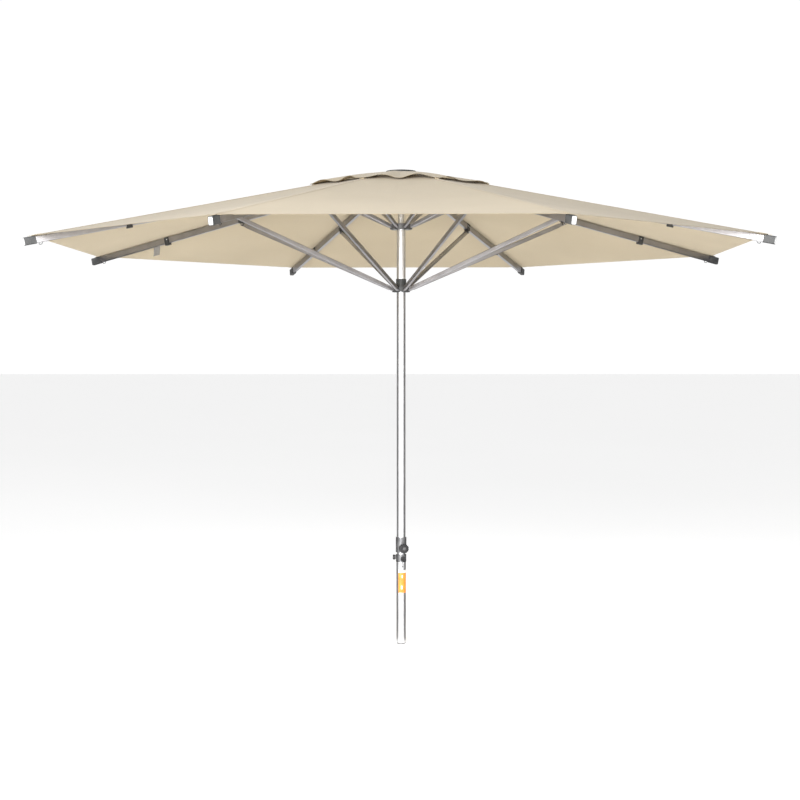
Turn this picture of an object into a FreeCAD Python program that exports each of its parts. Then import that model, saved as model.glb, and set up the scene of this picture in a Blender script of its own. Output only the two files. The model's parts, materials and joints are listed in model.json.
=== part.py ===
import FreeCAD, Part
import math
import os

# Patio umbrella: an eight-rib market parasol on a telescoping two-part pole.
# The origin is the middle of the pole's foot, +Z is up, and sizes are in millimetres.
# The canopy is open. To fold it, the crown rises out of the mast on its inner tube, the
# stays pull the ribs down round the crown, and the runner slides down with the struts.

V = FreeCAD.Vector

# ---------------------------------------------------------------- driving dimensions
RIB_COUNT = 8
FIRST_RIB_AZIMUTH = 22.5
TIP_RADIUS = 2000.0          # pole axis to the outer end of a rib
TIP_Z = 2117.0               # height of a rib's centreline at its outer end
RIB_SLOPE = 12.0             # degrees below level, opened

RIB_WIDTH = 20.0
RIB_DEPTH = 34.0
RIB_WALL = 1.5
RIB_CORNER = 3.0
RIB_BLADE_LENGTH = 34.0      # from the crown pin to where the hollow rib begins
RIB_BLADE_WIDTH = 12.0
RIB_BLADE_RADIUS = 14.0
PLUG_LENGTH = 60.0           # depth of the plugs inside ribs, struts and stays

END_CAP_LENGTH = 59.0
END_CAP_WIDTH = RIB_WIDTH + 6.0
END_CAP_DEPTH = RIB_DEPTH + 6.0
END_CAP_CORNER = 5.0
END_CAP_FACE = 16.0          # solid thickness of the cap beyond the rib
CLIP_RADIUS = 1481.0         # pole axis to the clip band on a rib
CLIP_LENGTH = 30.0
CLIP_WIDTH = RIB_WIDTH + 5.0
CLIP_BELOW = RIB_DEPTH / 2 + 10.0

SLEEVE_WALL = 2.5            # wall of the bracket sleeves round a rib
STRUT_PIN_ALONG = 957.2      # crown pin to strut pin, along the rib
STRUT_PIN_BELOW = RIB_DEPTH / 2 + 13.0   # strut pin below the rib's centreline
STRUT_BRACKET_LENGTH = 40.0
STAY_PIN_ALONG = 394.5
STAY_PIN_BELOW = RIB_DEPTH / 2 + 11.0
STAY_BRACKET_LENGTH = 36.0

STRUT_WIDTH = 16.0
STRUT_DEPTH = 22.0
STRUT_WALL = 1.5
STRUT_CORNER = 3.0
STRUT_END_RADIUS = 9.0
STRUT_END_LENGTH = 26.0      # pin to where the hollow strut begins
STAY_WIDTH = 15.0
STAY_DEPTH = 20.0
STAY_WALL = 1.5
STAY_CORNER = 3.0
STAY_END_RADIUS = 8.0
STAY_END_LENGTH = 24.0

CROWN_PIN_R = 3.0
CROWN_PIN_HALF = 12.0
STRUT_PIN_R = 4.0
STAY_PIN_R = 3.0
PIN_HEAD_OVER = 2.5          # how much larger the head's radius is than the pin's
PIN_HEAD_THICK = 2.0

MAST_R = 24.0
MAST_WALL = 2.0

FOOT_PLUG_FLANGE = 3.0
FOOT_PLUG_DEPTH = 40.0
LOWER_TUBE_R = MAST_R + 2.0
FOOT_PLUG_FLANGE_R = LOWER_TUBE_R - 1.0
LOWER_TUBE_TOP = 479.0
LOWER_TUBE_CHAMFER = 1.5
DEPTH_MARK_Z = 262.0         # shallow band that shows how far the pole goes into a stand
DEPTH_MARK_WIDTH = 6.0
DEPTH_MARK_DEEP = 0.5
SLIT_WIDTH = 3.0
SLIT_BOTTOM = 416.0
KEYHOLE_R = 4.0

CLAMP_RING_R = LOWER_TUBE_R + 2.0
CLAMP_RING_BOTTOM = 442.0
CLAMP_RING_LIP = 3.0
FRONT_AZIMUTH = -71.0        # the side that the large knob and the front clamp screw face
SIDE_AZIMUTH = 180.0
FRONT_SCREW_Z = 459.0
SIDE_SCREW_Z = 466.0
SCREW_BOSS_R = 9.0
SCREW_BOSS_REACH = CLAMP_RING_R + 3.0
SCREW_STUD_R = 4.0
SCREW_KNOB_R = 13.5
SCREW_KNOB_THICK = 14.0

LABEL_BOTTOM = 276.0
LABEL_TOP = 396.0
LABEL_AZIMUTH = -65.0
LABEL_SWEEP = 120.0
LABEL_THICK = 0.15

COUPLING_GAP = 0.2           # radial, the coupling tube in both poles
COUPLING_R = MAST_R - MAST_WALL - COUPLING_GAP
COUPLING_WALL = 2.0
COUPLING_BOTTOM = 180.0
COUPLING_TOP = 920.0
LOWER_TUBE_BORE = COUPLING_R + COUPLING_GAP

SLEEVE_BOTTOM = 493.0
SLEEVE_TOP = 574.0
SLEEVE_R = MAST_R + 5.0
SLEEVE_LIP = 3.0
SLEEVE_BOSS_R = 15.0
SLEEVE_BOSS_REACH = SLEEVE_R + 7.0
LOCK_KNOB_Z = 517.0
LOCK_KNOB_R = 25.0
LOCK_KNOB_THICK = 24.0
LOCK_KNOB_GRIPS = 8
LOCK_KNOB_GRIP_R = 5.0
LOCK_KNOB_DISC_R = 15.0
LOCK_KNOB_DISC_THICK = 2.0
LOCK_STUD_R = 5.0

STAR_BELOW_CROWN = 277.5     # crown pins to the upper star's stay ends
STAR_SLOT_FLOOR = MAST_R + 18.0
STAR_PIVOT_R = STAR_SLOT_FLOOR + 10.0
STAR_R = STAR_SLOT_FLOOR + 18.0
STAR_HALF_HEIGHT = 14.0
BUSH_DEPTH = 44.0
BUSH_FLANGE_R = MAST_R + 6.0
BUSH_FLANGE_THICK = 4.0

RUNNER_BELOW_STAR = 339.0    # stay ends to the runner's strut ends, opened
RUNNER_SLOT_FLOOR = MAST_R + 11.0
RUNNER_PIVOT_R = RUNNER_SLOT_FLOOR + 11.0
RUNNER_R = RUNNER_SLOT_FLOOR + 13.0
RUNNER_HALF_HEIGHT = 14.0
NECK_R = MAST_R + 4.0
NECK_HEIGHT = 43.0
NECK_RINGS = 3
NECK_RING_DEEP = 1.0

SLIDER_WALL = 4.0            # radial, the mast's bore to the inner tube
INNER_TUBE_R = MAST_R - MAST_WALL - SLIDER_WALL
INNER_TUBE_WALL = 2.0
INNER_TUBE_BELOW_CROWN = 981.5
SLIDER_HEIGHT = 60.0

HUB_SLOT_FLOOR = INNER_TUBE_R + 16.0
CROWN_PIVOT_R = HUB_SLOT_FLOOR + RIB_BLADE_RADIUS + 2.0
HUB_R = CROWN_PIVOT_R + 12.0
HUB_BELOW = 16.0
HUB_ABOVE = 18.0
HUB_ROOF = 5.4               # thickness of the hub over the inner tube
HUB_SLOT_ROOF = 15.0
CAP_R = HUB_R + 20.0
CAP_RIM = 5.0
CAP_CENTRE = 13.6
BOLT_R = 4.0
BOLT_HEAD_R = 8.0
BOLT_HEAD_DEEP = 4.0
NUT_ACROSS = 13.0
NUT_THICK = 6.5

CLOTH = 1.0                  # thickness of the canopy's cloth
CLOTH_OVER_CAP = 0.1         # gap between the cloth and a corner of an end cap
CLOTH_SIDE_GAP = 0.15        # each panel stops this far short of the mid-gore line
VENT_RADIUS = 330.0
HEM_RADIUS = 1965.0
FLAP_INNER_R = CAP_R + 9.0
FLAP_SHOULDER_R = 240.0
FLAP_HEM_R = 480.0
FLAP_SHOULDER_RISE = 18.0    # flap above the crown pins, from its inner edge to its shoulder
FLAP_LIFT = 24.0             # flap's hem above the main canopy, at a rib
FLAP_TAB_WIDTH = 20.0

# named clearances
PIN_GAP = 0.05               # radial, a pin in the hole that turns on it
SLIDE_GAP = 0.1              # radial, a tube or bush that slides
BLADE_GAP = 0.5              # each side of a blade in its slot or between its ears
KNUCKLE_GAP = 0.75           # each side of a stay or strut end in its hub's slot
STUD_GAP = 0.1               # radial, a clamp stud in its boss
STUD_TIP_GAP = 0.3           # a slack stud's tip to the tube that it clamps
HEAD_GAP = 0.1               # a pin's head or a knob to the face beside it

# ---------------------------------------------------------------- the linkage
SLOPE = math.radians(RIB_SLOPE)
CROWN_PIVOT_Z = TIP_Z + (TIP_RADIUS - CROWN_PIVOT_R) * math.tan(SLOPE)
RIB_LENGTH = (TIP_RADIUS - CROWN_PIVOT_R) / math.cos(SLOPE)
STAR_Z = CROWN_PIVOT_Z - STAR_BELOW_CROWN
RUNNER_Z = STAR_Z - RUNNER_BELOW_STAR
INNER_TUBE_BOTTOM = CROWN_PIVOT_Z - INNER_TUBE_BELOW_CROWN


def on_rib(along, above):
    """The radius and height of a point given along and above a rib's centreline."""
    radius = CROWN_PIVOT_R + along * math.cos(SLOPE) + above * math.sin(SLOPE)
    height = CROWN_PIVOT_Z - along * math.sin(SLOPE) + above * math.cos(SLOPE)
    return radius, height


def along_rib(radius):
    """How far along its centreline a rib reaches a radius."""
    return (radius - CROWN_PIVOT_R) / math.cos(SLOPE)


STRUT_PIN = on_rib(STRUT_PIN_ALONG, -STRUT_PIN_BELOW)
STAY_PIN = on_rib(STAY_PIN_ALONG, -STAY_PIN_BELOW)
STRUT_LENGTH = math.hypot(STRUT_PIN[0] - RUNNER_PIVOT_R, STRUT_PIN[1] - RUNNER_Z)
STAY_LENGTH = math.hypot(STAY_PIN[0] - STAR_PIVOT_R, STAY_PIN[1] - STAR_Z)


# ---------------------------------------------------------------- shape helpers
def round_bar(radius, bottom, top):
    return Part.makeCylinder(radius, top - bottom, V(0, 0, bottom))


def ring(outer, inner, bottom, top):
    return round_bar(outer, bottom, top).cut(round_bar(inner, bottom, top))


def outward_bar(radius, start, end, azimuth, height):
    """A round bar that points straight out from the pole."""
    bar = Part.makeCylinder(radius, end - start, V(start, 0, height), V(1, 0, 0))
    return turned(bar, azimuth)


def turned(shape, azimuth):
    copy = shape.copy()
    copy.rotate(V(0, 0, 0), V(0, 0, 1), azimuth)
    return copy


def block(start, end, half_width, bottom, top):
    """A box along +X, even about the XZ plane."""
    return Part.makeBox(end - start, 2 * half_width, top - bottom, V(start, -half_width, bottom))


def rounded_block(start, end, half_width, bottom, top, corner):
    """A block with its four long edges rounded."""
    box = block(start, end, half_width, bottom, top)
    long_edges = [e for e in box.Edges if abs(e.tangentAt(e.FirstParameter).x) > 0.99]
    return box.makeFillet(corner, long_edges)


def cross_pin(radius, along, above, half_length):
    """A round bar across the XZ plane, such as a hinge pin."""
    return Part.makeCylinder(radius, 2 * half_length, V(along, -half_length, above), V(0, 1, 0))


def headed_pin(radius, half_span):
    """A hinge pin at the origin with a head beyond each end of its span."""
    pin = cross_pin(radius, 0, 0, half_span + HEAD_GAP + PIN_HEAD_THICK)
    for side in (-1, 1):
        face = side * (half_span + HEAD_GAP)
        head = Part.makeCylinder(
            radius + PIN_HEAD_OVER, PIN_HEAD_THICK, V(0, face, 0), V(0, side, 0)
        )
        pin = pin.fuse(head)
    return pin.removeSplitter()


def laid_along(shape, start, direction, azimuth):
    """Moves a shape made along +X so that it starts at (radius, height) and points at an angle above level."""
    copy = shape.copy()
    copy.rotate(V(0, 0, 0), V(0, 1, 0), -direction)
    copy.translate(V(start[0], 0, start[1]))
    return turned(copy, azimuth)


def slots(start, end, half_width, bottom, top):
    """Eight radial slots, one below each rib."""
    slot = block(start, end, half_width, bottom, top)
    cutter = turned(slot, rib_azimuth(1))
    for number in range(2, RIB_COUNT + 1):
        cutter = cutter.fuse(turned(slot, rib_azimuth(number)))
    return cutter


def rib_azimuth(number):
    return FIRST_RIB_AZIMUTH + (number - 1) * 360.0 / RIB_COUNT


def save(name, *solids):
    shape = solids[0] if len(solids) == 1 else Part.makeCompound(list(solids))
    shape.exportStep("parts/" + name + ".step")


# ---------------------------------------------------------------- lower pole
def foot_plug():
    flange = round_bar(FOOT_PLUG_FLANGE_R, 0, FOOT_PLUG_FLANGE)
    body = round_bar(LOWER_TUBE_BORE, FOOT_PLUG_FLANGE, FOOT_PLUG_DEPTH)
    return flange.fuse(body).removeSplitter()


def lower_tube():
    bottom_edge = FOOT_PLUG_FLANGE
    outside = round_bar(LOWER_TUBE_R, bottom_edge, LOWER_TUBE_TOP)
    foot_edges = [e for e in outside.Edges if e.Closed and abs(e.CenterOfMass.z - bottom_edge) < 0.01]
    outside = outside.makeChamfer(LOWER_TUBE_CHAMFER, foot_edges)
    tube = outside.cut(round_bar(LOWER_TUBE_BORE, bottom_edge, LOWER_TUBE_TOP))
    mark_top = DEPTH_MARK_Z + DEPTH_MARK_WIDTH
    tube = tube.cut(ring(LOWER_TUBE_R + 1, LOWER_TUBE_R - DEPTH_MARK_DEEP, DEPTH_MARK_Z, mark_top))
    inside = LOWER_TUBE_BORE / 2
    outside_r = LOWER_TUBE_R + 1
    slit = block(inside, outside_r, SLIT_WIDTH / 2, SLIT_BOTTOM, LOWER_TUBE_TOP + 1)
    tube = tube.cut(turned(slit, FRONT_AZIMUTH))
    tube = tube.cut(outward_bar(KEYHOLE_R, inside, outside_r, FRONT_AZIMUTH, SLIT_BOTTOM))
    hole_r = SCREW_STUD_R + STUD_GAP
    tube = tube.cut(outward_bar(hole_r, inside, outside_r, FRONT_AZIMUTH, FRONT_SCREW_Z))
    return tube.cut(outward_bar(hole_r, inside, outside_r, SIDE_AZIMUTH, SIDE_SCREW_Z))


def pole_label():
    sheet = ring(LOWER_TUBE_R + LABEL_THICK, LOWER_TUBE_R, LABEL_BOTTOM, LABEL_TOP)
    reach = 2 * LOWER_TUBE_R
    wedge = Part.makeCylinder(
        reach, LABEL_TOP - LABEL_BOTTOM, V(0, 0, LABEL_BOTTOM), V(0, 0, 1), LABEL_SWEEP
    )
    return sheet.common(turned(wedge, LABEL_AZIMUTH - LABEL_SWEEP / 2))


def clamp_ring():
    top = LOWER_TUBE_TOP + CLAMP_RING_LIP
    body = ring(CLAMP_RING_R, LOWER_TUBE_R, CLAMP_RING_BOTTOM, LOWER_TUBE_TOP)
    lip = ring(CLAMP_RING_R, COUPLING_R + SLIDE_GAP, LOWER_TUBE_TOP, top)
    body = body.fuse(lip)
    for azimuth, height in ((FRONT_AZIMUTH, FRONT_SCREW_Z), (SIDE_AZIMUTH, SIDE_SCREW_Z)):
        boss = outward_bar(SCREW_BOSS_R, LOWER_TUBE_R - 1, SCREW_BOSS_REACH, azimuth, height)
        boss = boss.cut(round_bar(LOWER_TUBE_R, CLAMP_RING_BOTTOM, top))
        body = body.fuse(boss)
        stud_hole = outward_bar(SCREW_STUD_R + STUD_GAP, 0, SCREW_BOSS_REACH + 1, azimuth, height)
        stud_hole = stud_hole.cut(round_bar(LOWER_TUBE_BORE, CLAMP_RING_BOTTOM, top))
        body = body.cut(stud_hole)
    return body.removeSplitter()


def clamp_screw(azimuth, height):
    knob_start = SCREW_BOSS_REACH + HEAD_GAP
    knob_end = knob_start + SCREW_KNOB_THICK
    knob = Part.makeCylinder(SCREW_KNOB_R, SCREW_KNOB_THICK, V(knob_start, 0, 0), V(1, 0, 0))
    rims = [e for e in knob.Edges if e.Closed]
    knob = knob.makeFillet(2.0, rims)
    stud_start = COUPLING_R + STUD_TIP_GAP
    stud = Part.makeCylinder(SCREW_STUD_R, knob_end - 4 - stud_start, V(stud_start, 0, 0), V(1, 0, 0))
    knob = knob.cut(stud)
    return [laid_along(piece, (0, height), 0, azimuth) for piece in (knob, stud)]


def coupling_tube():
    return ring(COUPLING_R, COUPLING_R - COUPLING_WALL, COUPLING_BOTTOM, COUPLING_TOP)


# ---------------------------------------------------------------- mast
def mast_tube():
    bottom = SLEEVE_BOTTOM + SLEEVE_LIP
    top = STAR_Z + STAR_HALF_HEIGHT
    tube = ring(MAST_R, MAST_R - MAST_WALL, bottom, top)
    stud_hole = outward_bar(LOCK_STUD_R + STUD_GAP, 0, MAST_R + 1, FRONT_AZIMUTH, LOCK_KNOB_Z)
    return tube.cut(stud_hole)


def lock_sleeve():
    lip_top = SLEEVE_BOTTOM + SLEEVE_LIP
    body = ring(SLEEVE_R, COUPLING_R + SLIDE_GAP, SLEEVE_BOTTOM, lip_top)
    body = body.fuse(ring(SLEEVE_R, MAST_R, lip_top, SLEEVE_TOP))
    boss = outward_bar(SLEEVE_BOSS_R, MAST_R - 1, SLEEVE_BOSS_REACH, FRONT_AZIMUTH, LOCK_KNOB_Z)
    boss = boss.cut(round_bar(MAST_R, SLEEVE_BOTTOM, SLEEVE_TOP))
    body = body.fuse(boss)
    reach = SLEEVE_BOSS_REACH + 1
    stud_hole = outward_bar(LOCK_STUD_R + STUD_GAP, MAST_R - 2, reach, FRONT_AZIMUTH, LOCK_KNOB_Z)
    return body.cut(stud_hole).removeSplitter()


def lock_knob():
    start = SLEEVE_BOSS_REACH + HEAD_GAP
    end = start + LOCK_KNOB_THICK
    knob = Part.makeCylinder(LOCK_KNOB_R, LOCK_KNOB_THICK, V(start, 0, 0), V(1, 0, 0))
    knob = knob.makeFillet(3.0, [e for e in knob.Edges if e.Closed])
    for number in range(LOCK_KNOB_GRIPS):
        angle = 2 * math.pi * number / LOCK_KNOB_GRIPS
        across = (LOCK_KNOB_R + LOCK_KNOB_GRIP_R * 0.6) * math.cos(angle)
        up = (LOCK_KNOB_R + LOCK_KNOB_GRIP_R * 0.6) * math.sin(angle)
        grip = Part.makeCylinder(LOCK_KNOB_GRIP_R, LOCK_KNOB_THICK, V(start, across, up), V(1, 0, 0))
        knob = knob.cut(grip)
    stud_start = COUPLING_R + STUD_TIP_GAP
    stud_end = end - 8
    stud = Part.makeCylinder(LOCK_STUD_R, stud_end - stud_start, V(stud_start, 0, 0), V(1, 0, 0))
    disc_start = end - LOCK_KNOB_DISC_THICK
    disc = Part.makeCylinder(LOCK_KNOB_DISC_R, LOCK_KNOB_DISC_THICK, V(disc_start, 0, 0), V(1, 0, 0))
    knob = knob.cut(stud).cut(disc)
    return [laid_along(piece, (0, LOCK_KNOB_Z), 0, FRONT_AZIMUTH) for piece in (knob, stud, disc)]


def upper_star():
    bottom = STAR_Z - STAR_HALF_HEIGHT
    top = STAR_Z + STAR_HALF_HEIGHT
    star = ring(STAR_R, MAST_R, bottom, top)
    half_slot = STAY_WIDTH / 2 + KNUCKLE_GAP
    return star.cut(slots(STAR_SLOT_FLOOR, STAR_R + 1, half_slot, bottom - 1, top + 1))


def mast_guide_bush():
    top = STAR_Z + STAR_HALF_HEIGHT
    bore = INNER_TUBE_R + SLIDE_GAP
    lining = ring(MAST_R - MAST_WALL, bore, top - BUSH_DEPTH, top)
    flange = ring(BUSH_FLANGE_R, bore, top, top + BUSH_FLANGE_THICK)
    return lining.fuse(flange).removeSplitter()


# ---------------------------------------------------------------- runner
def runner_hub():
    bottom = RUNNER_Z - RUNNER_HALF_HEIGHT
    top = RUNNER_Z + RUNNER_HALF_HEIGHT
    hub = ring(RUNNER_R, MAST_R + SLIDE_GAP, bottom, top)
    half_slot = STRUT_WIDTH / 2 + KNUCKLE_GAP
    return hub.cut(slots(RUNNER_SLOT_FLOOR, RUNNER_R + 1, half_slot, bottom - 1, top + 1))


def runner_neck():
    bottom = RUNNER_Z + RUNNER_HALF_HEIGHT
    neck = ring(NECK_R, MAST_R + SLIDE_GAP, bottom, bottom + NECK_HEIGHT)
    step = NECK_HEIGHT / (NECK_RINGS + 1)
    for number in range(1, NECK_RINGS + 1):
        middle = bottom + number * step
        groove = ring(NECK_R + 1, NECK_R - NECK_RING_DEEP, middle - 1.5, middle + 1.5)
        neck = neck.cut(groove)
    return neck


# ---------------------------------------------------------------- crown
def inner_tube():
    top = CROWN_PIVOT_Z + HUB_ABOVE - HUB_ROOF
    return ring(INNER_TUBE_R, INNER_TUBE_R - INNER_TUBE_WALL, INNER_TUBE_BOTTOM, top)


def inner_tube_slider():
    outer = MAST_R - MAST_WALL - SLIDE_GAP
    return ring(outer, INNER_TUBE_R, INNER_TUBE_BOTTOM, INNER_TUBE_BOTTOM + SLIDER_HEIGHT)


def crown_hub():
    bottom = CROWN_PIVOT_Z - HUB_BELOW
    top = CROWN_PIVOT_Z + HUB_ABOVE
    hub = round_bar(HUB_R, bottom, top).cut(round_bar(INNER_TUBE_R, bottom, top - HUB_ROOF))
    half_slot = RIB_BLADE_WIDTH / 2 + BLADE_GAP
    hub = hub.cut(slots(HUB_SLOT_FLOOR, HUB_R + 1, half_slot, bottom - 1, CROWN_PIVOT_Z + HUB_SLOT_ROOF))
    for pin in crown_pins():
        hub = hub.cut(pin)
    return hub.cut(round_bar(BOLT_R, bottom, top))


def crown_pins():
    pin = cross_pin(CROWN_PIN_R, CROWN_PIVOT_R, CROWN_PIVOT_Z, CROWN_PIN_HALF)
    return [turned(pin, rib_azimuth(number)) for number in range(1, RIB_COUNT + 1)]


def top_cap():
    base = CROWN_PIVOT_Z + HUB_ABOVE
    rise = CAP_CENTRE - CAP_RIM
    dome_r = (CAP_R ** 2 + rise ** 2) / (2 * rise)
    dome = Part.makeSphere(dome_r, V(0, 0, base + CAP_CENTRE - dome_r))
    cap = round_bar(CAP_R, base, base + CAP_CENTRE + 1).common(dome)
    for piece in cap_bolt():
        cap = cap.cut(piece)
    return cap


def cap_bolt():
    """The countersunk bolt through the cap and the hub's roof, and its nut in the inner tube."""
    top = CROWN_PIVOT_Z + HUB_ABOVE + CAP_CENTRE - 0.5
    roof_bottom = CROWN_PIVOT_Z + HUB_ABOVE - HUB_ROOF
    nut_bottom = roof_bottom - NUT_THICK
    shank = round_bar(BOLT_R, nut_bottom - 3, top)
    head = Part.makeCone(BOLT_R, BOLT_HEAD_R, BOLT_HEAD_DEEP, V(0, 0, top - BOLT_HEAD_DEEP))
    corner_r = NUT_ACROSS / math.sqrt(3)
    corners = [
        V(corner_r * math.cos(math.radians(60 * n)), corner_r * math.sin(math.radians(60 * n)), nut_bottom)
        for n in range(7)
    ]
    nut = Part.Face(Part.makePolygon(corners)).extrude(V(0, 0, NUT_THICK))
    return [shank.fuse(head).removeSplitter(), nut.cut(shank)]


# ---------------------------------------------------------------- one rib and what it carries
def hollow_bar(start, end, width, depth, wall, corner):
    outside = rounded_block(start, end, width / 2, -depth / 2, depth / 2, corner)
    inner_corner = max(corner - wall, 0.5)
    hollow = rounded_block(start, end, width / 2 - wall, wall - depth / 2, depth / 2 - wall, inner_corner)
    return outside.cut(hollow)


def rib_outside(start, end):
    return rounded_block(start, end, RIB_WIDTH / 2, -RIB_DEPTH / 2, RIB_DEPTH / 2, RIB_CORNER)


def plug(start, end, width, depth, wall, corner):
    """The part of an end fitting that fills the inside of a hollow bar."""
    inner_corner = max(corner - wall, 0.5)
    return rounded_block(start, end, width / 2 - wall, wall - depth / 2, depth / 2 - wall, inner_corner)


def rib():
    tube = hollow_bar(
        RIB_BLADE_LENGTH, RIB_LENGTH - END_CAP_FACE, RIB_WIDTH, RIB_DEPTH, RIB_WALL, RIB_CORNER
    )
    blade = block(0, RIB_BLADE_LENGTH, RIB_BLADE_WIDTH / 2, -RIB_BLADE_RADIUS, RIB_BLADE_RADIUS)
    blade = blade.fuse(cross_pin(RIB_BLADE_RADIUS, 0, 0, RIB_BLADE_WIDTH / 2))
    inside = plug(
        RIB_BLADE_LENGTH, RIB_BLADE_LENGTH + PLUG_LENGTH, RIB_WIDTH, RIB_DEPTH, RIB_WALL, RIB_CORNER
    )
    blade = blade.fuse(inside).removeSplitter()
    blade = blade.cut(cross_pin(CROWN_PIN_R + PIN_GAP, 0, 0, RIB_BLADE_WIDTH))
    return [tube, blade]


def end_cap():
    start = RIB_LENGTH - END_CAP_LENGTH
    half_depth = END_CAP_DEPTH / 2
    cap = rounded_block(start, RIB_LENGTH, END_CAP_WIDTH / 2, -half_depth, half_depth, END_CAP_CORNER)
    return cap.cut(rib_outside(start, RIB_LENGTH - END_CAP_FACE))


def clip_band():
    start = along_rib(CLIP_RADIUS) - CLIP_LENGTH / 2
    top = RIB_DEPTH / 2 + SLEEVE_WALL
    band = rounded_block(start, start + CLIP_LENGTH, CLIP_WIDTH / 2, -CLIP_BELOW, top, RIB_CORNER)
    return band.cut(rib_outside(start, start + CLIP_LENGTH))


def pivot_bracket(along, below, length, bar_width, end_radius, pin_radius):
    """A sleeve round the rib with two ears that hold the pin of a strut or stay."""
    start = along - length / 2
    half_depth = RIB_DEPTH / 2 + SLEEVE_WALL
    half_width = RIB_WIDTH / 2 + SLEEVE_WALL
    body = rounded_block(start, start + length, half_width, -half_depth, half_depth, RIB_CORNER)
    ear_inside = bar_width / 2 + BLADE_GAP
    ear_top = -RIB_DEPTH / 2 - SLEEVE_WALL / 2
    lug = block(along - end_radius, along + end_radius, half_width, -below, ear_top)
    lug = lug.fuse(cross_pin(end_radius, along, -below, half_width))
    gap = block(
        along - length, along + length, ear_inside, -below - 2 * end_radius, -half_depth
    )
    body = body.fuse(lug.cut(gap))
    body = body.cut(rib_outside(start, start + length))
    return body.cut(cross_pin(pin_radius + PIN_GAP, along, -below, half_width + 1)).removeSplitter()


def rib_fittings():
    strut_bracket = pivot_bracket(
        STRUT_PIN_ALONG, STRUT_PIN_BELOW, STRUT_BRACKET_LENGTH, STRUT_WIDTH, STRUT_END_RADIUS, STRUT_PIN_R
    )
    stay_bracket = pivot_bracket(
        STAY_PIN_ALONG, STAY_PIN_BELOW, STAY_BRACKET_LENGTH, STAY_WIDTH, STAY_END_RADIUS, STAY_PIN_R
    )
    return [end_cap(), clip_band(), strut_bracket, stay_bracket]


def hinged_bar(length, width, depth, wall, corner, end_radius, end_length, pin_radius):
    """A strut or stay from its pin on the rib, at the origin, to its end in a hub's slot."""
    tube = hollow_bar(end_length, length - end_length, width, depth, wall, corner)
    outer_end = block(0, end_length, width / 2, -end_radius, end_radius)
    outer_end = outer_end.fuse(cross_pin(end_radius, 0, 0, width / 2))
    outer_end = outer_end.fuse(plug(end_length, end_length + PLUG_LENGTH, width, depth, wall, corner))
    pin = headed_pin(pin_radius, RIB_WIDTH / 2 + SLEEVE_WALL)
    inner_end = block(length - end_length, length, width / 2, -end_radius, end_radius)
    inner_end = inner_end.fuse(cross_pin(end_radius, length, 0, width / 2))
    inner_plug_start = length - end_length - PLUG_LENGTH
    inner_end = inner_end.fuse(plug(inner_plug_start, length - end_length, width, depth, wall, corner))
    return [tube, outer_end.removeSplitter().cut(pin), inner_end.removeSplitter(), pin]


# ---------------------------------------------------------------- canopy
COS_HALF_GORE = math.cos(math.pi / RIB_COUNT)
TAN_HALF_GORE = math.tan(math.pi / RIB_COUNT)


def gore_fall():
    """How far a gore drops below the plane across its rib, for each millimetre to the side."""
    return math.sin(SLOPE) * TAN_HALF_GORE


def canopy_height(radius):
    """Height of the main canopy's underside along a rib."""
    corner_drop = gore_fall() * END_CAP_WIDTH / 2
    return on_rib(along_rib(radius), 0)[1] + (END_CAP_DEPTH / 2 + corner_drop + CLOTH_OVER_CAP) / math.cos(SLOPE)


def half_facet(inner, outer, side):
    """Cloth between two hems, from the rib at azimuth 0 to the mid-gore line on one side.

    inner and outer are (radius, height) at the rib.
    """
    corners = [V(inner[0], 0, inner[1]), V(outer[0], 0, outer[1])]
    half_gore = math.pi / RIB_COUNT
    for radius, height in (outer, inner):
        reach = radius * COS_HALF_GORE
        x = reach * math.cos(half_gore) + CLOTH_SIDE_GAP * math.sin(half_gore)
        y = reach * math.sin(half_gore) - CLOTH_SIDE_GAP * math.cos(half_gore)
        corners.append(V(x, side * y, height))
    face = Part.Face(Part.makePolygon(corners + corners[:1]))
    slope = math.atan2(inner[1] - outer[1], (outer[0] - inner[0]) * COS_HALF_GORE)
    return face.extrude(V(0, 0, CLOTH / math.cos(slope)))


def sheet(profile):
    """Cloth along a rib line of (radius, height) points, out to both mid-gore lines."""
    cloth = None
    for inner, outer in zip(profile, profile[1:]):
        for side in (-1, 1):
            facet = half_facet(inner, outer, side)
            cloth = facet if cloth is None else cloth.fuse(facet)
    return cloth.removeSplitter()


def canopy_panel():
    """The main canopy and the vent flap, on both sides of one rib."""
    main = sheet([(VENT_RADIUS, canopy_height(VENT_RADIUS)), (HEM_RADIUS, canopy_height(HEM_RADIUS))])
    shoulder = CROWN_PIVOT_Z + FLAP_SHOULDER_RISE
    cloth_rise = CLOTH / math.cos(SLOPE)
    hem_height = canopy_height(FLAP_HEM_R) + cloth_rise + FLAP_LIFT
    flap = sheet([(FLAP_INNER_R, shoulder), (FLAP_SHOULDER_R, shoulder), (FLAP_HEM_R, hem_height)])
    tab_r = FLAP_HEM_R - 2 * CLOTH
    tab = block(tab_r - CLOTH, tab_r, FLAP_TAB_WIDTH / 2, canopy_height(tab_r), hem_height + CLOTH)
    tab = tab.cut(main).cut(flap)
    pieces = sorted(tab.Solids, key=lambda piece: -piece.Volume)
    return [main, flap, pieces[0]]


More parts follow.
